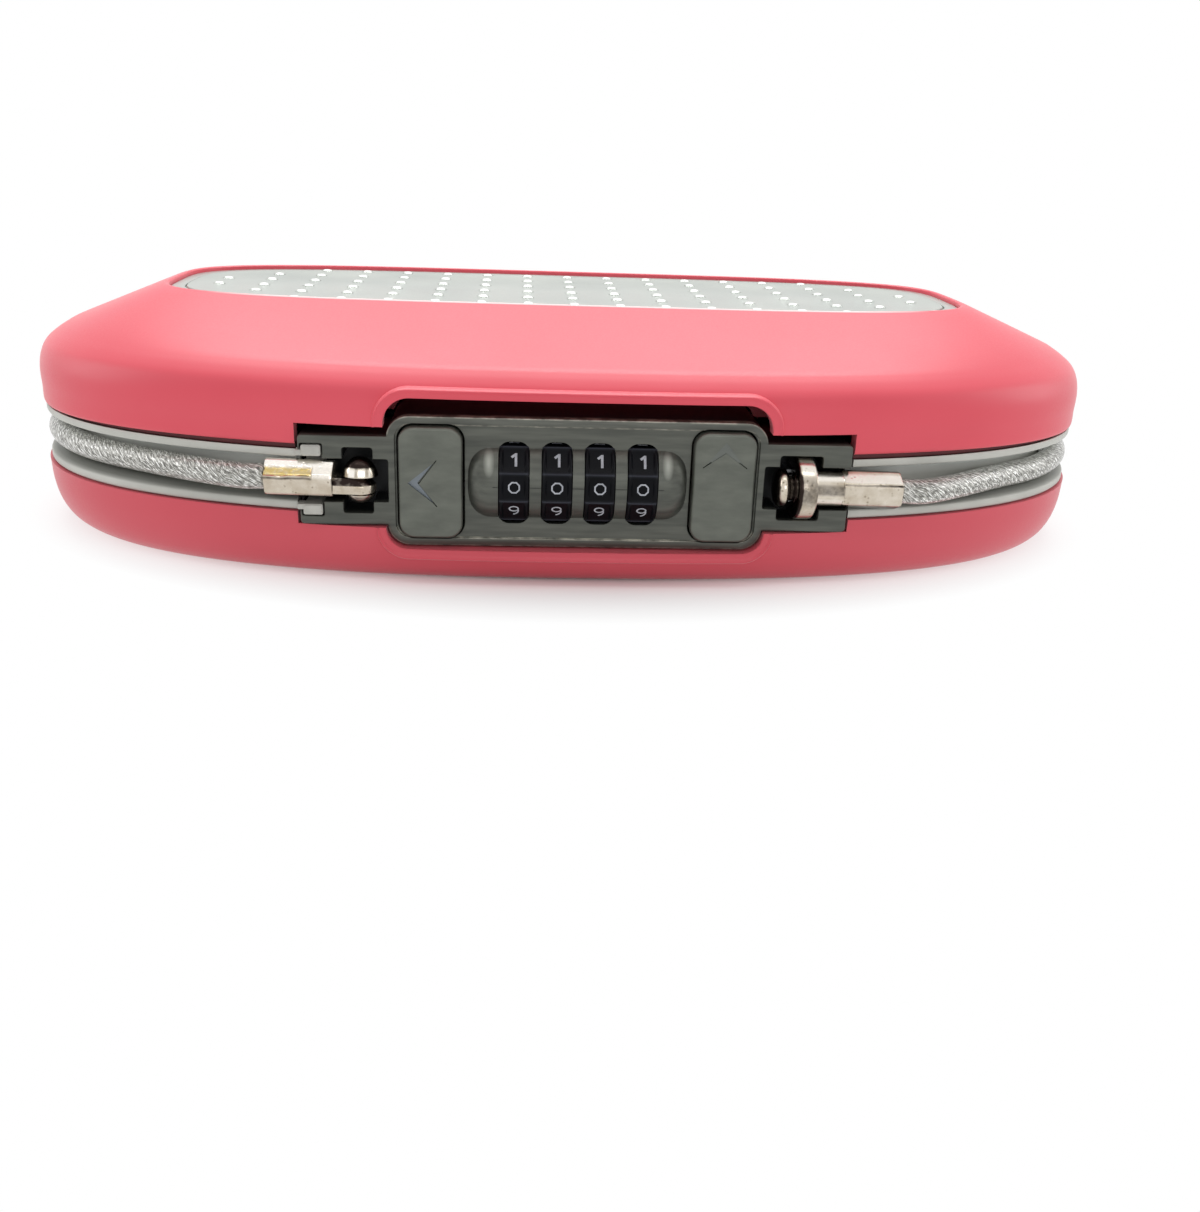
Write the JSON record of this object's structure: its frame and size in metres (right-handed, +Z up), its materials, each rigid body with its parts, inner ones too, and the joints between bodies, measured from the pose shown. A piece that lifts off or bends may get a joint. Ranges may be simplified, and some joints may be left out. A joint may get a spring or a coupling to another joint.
{
  "type": "portable car safe",
  "caption": "Oval portable lock box: a lower shell and a hinged lid either side of a band that stores a security cable, with a number-wheel lock and two push buttons in front.",
  "frame": {"origin": "centre of the case's outline on the surface it rests on", "axes": "+X along the case's long axis, to the right when facing the lock; +Y from the lock to the hinge; +Z up"},
  "size_m": [0.242, 0.1417, 0.052],
  "materials": {
    "shell": "satin",
    "band": "satin",
    "lock": "satin",
    "button": "satin",
    "dial": "satin",
    "nickel": "bright nickel",
    "steel": "zinc plated",
    "spring": "spring wire",
    "brass": "plain",
    "clip": "satin",
    "cable": "clear vinyl over steel strands",
    "inlay": "satin silver",
    "cover": "matt",
    "foam": "matt foam"
  },
  "bodies": {
    "case": {"base_shell": "shell", "rim_frame": "band", "base_liner": "foam", "security_cable": "cable", "hinge_pin": "steel", "lock_housing": "lock", "lock_cover": "cover", "detent_spring": "spring", "locking_bar": "steel", "wheel_spindle": "steel", "left_spring": "spring", "right_spring": "spring", "latch_spring": "spring", "cable_plug": "nickel", "left_ferrule": "nickel", "swivel_ball": "nickel", "swivel_pin": "nickel", "ferrule_clip": "clip", "cover_screw_1": "steel", "cover_screw_2": "steel", "cover_screw_3": "steel", "cover_screw_4": "steel", "frame_screw_1": "steel", "frame_screw_2": "steel", "frame_screw_3": "steel", "frame_screw_4": "steel", "frame_screw_5": "steel", "frame_screw_6": "steel", "housing_screw_1": "steel", "housing_screw_2": "steel"},
    "lid": {"lid_shell": "shell", "inlay_plate": "inlay", "lid_liner": "foam", "striker": "steel", "striker_screw_1": "steel", "striker_screw_2": "steel"},
    "dial_1": {"dial_wheel_1": "dial", "dial_sleeve_1": "brass"},
    "dial_2": {"dial_wheel_2": "dial", "dial_sleeve_2": "brass"},
    "dial_3": {"dial_wheel_3": "dial", "dial_sleeve_3": "brass"},
    "dial_4": {"dial_wheel_4": "dial", "dial_sleeve_4": "brass"},
    "cable_release": {"left_button": "button", "cable_catch": "steel"},
    "lid_release": {"right_button": "button"},
    "latch": {"lid_latch": "steel"},
    "reset": {"reset_lever": "cover"}
  },
  "joints": [
    {"name": "lid_hinge", "type": "hinge", "parent": "case", "child": "lid", "pos_m": [0, 0.0687, 0.028], "axis": [-1, 0, 0], "range_deg": [0, 100]},
    {"name": "dial_1_spin", "type": "hinge", "parent": "case", "child": "dial_1", "pos_m": [-0.01281, -0.0593, 0.021], "axis": [1, 0, 0], "continuous": true},
    {"name": "dial_2_spin", "type": "hinge", "parent": "case", "child": "dial_2", "pos_m": [-0.00427, -0.0593, 0.021], "axis": [1, 0, 0], "continuous": true},
    {"name": "dial_3_spin", "type": "hinge", "parent": "case", "child": "dial_3", "pos_m": [0.00427, -0.0593, 0.021], "axis": [1, 0, 0], "continuous": true},
    {"name": "dial_4_spin", "type": "hinge", "parent": "case", "child": "dial_4", "pos_m": [0.01281, -0.0593, 0.021], "axis": [1, 0, 0], "continuous": true},
    {"name": "left_button_push", "type": "slide", "parent": "case", "child": "cable_release", "axis": [0, 1, 0], "range_m": [0, 0.0025], "stiffness_N_per_m": 400, "springref_m": -0.002, "deforming": ["left_spring"]},
    {"name": "right_button_push", "type": "slide", "parent": "case", "child": "lid_release", "axis": [0, 1, 0], "range_m": [0, 0.0025], "stiffness_N_per_m": 400, "springref_m": -0.002, "deforming": ["right_spring"]},
    {"name": "latch_slide", "type": "slide", "parent": "case", "child": "latch", "axis": [1, 0, 0], "range_m": [0, 0.0025], "stiffness_N_per_m": 200, "springref_m": -0.002, "deforming": ["latch_spring"]},
    {"name": "reset_slide", "type": "slide", "parent": "case", "child": "reset", "axis": [1, 0, 0], "range_m": [0, 0.004]}
  ],
  "couplings": [
    {"joint": "latch_slide", "follows": "right_button_push", "ratio": 1}
  ]
}
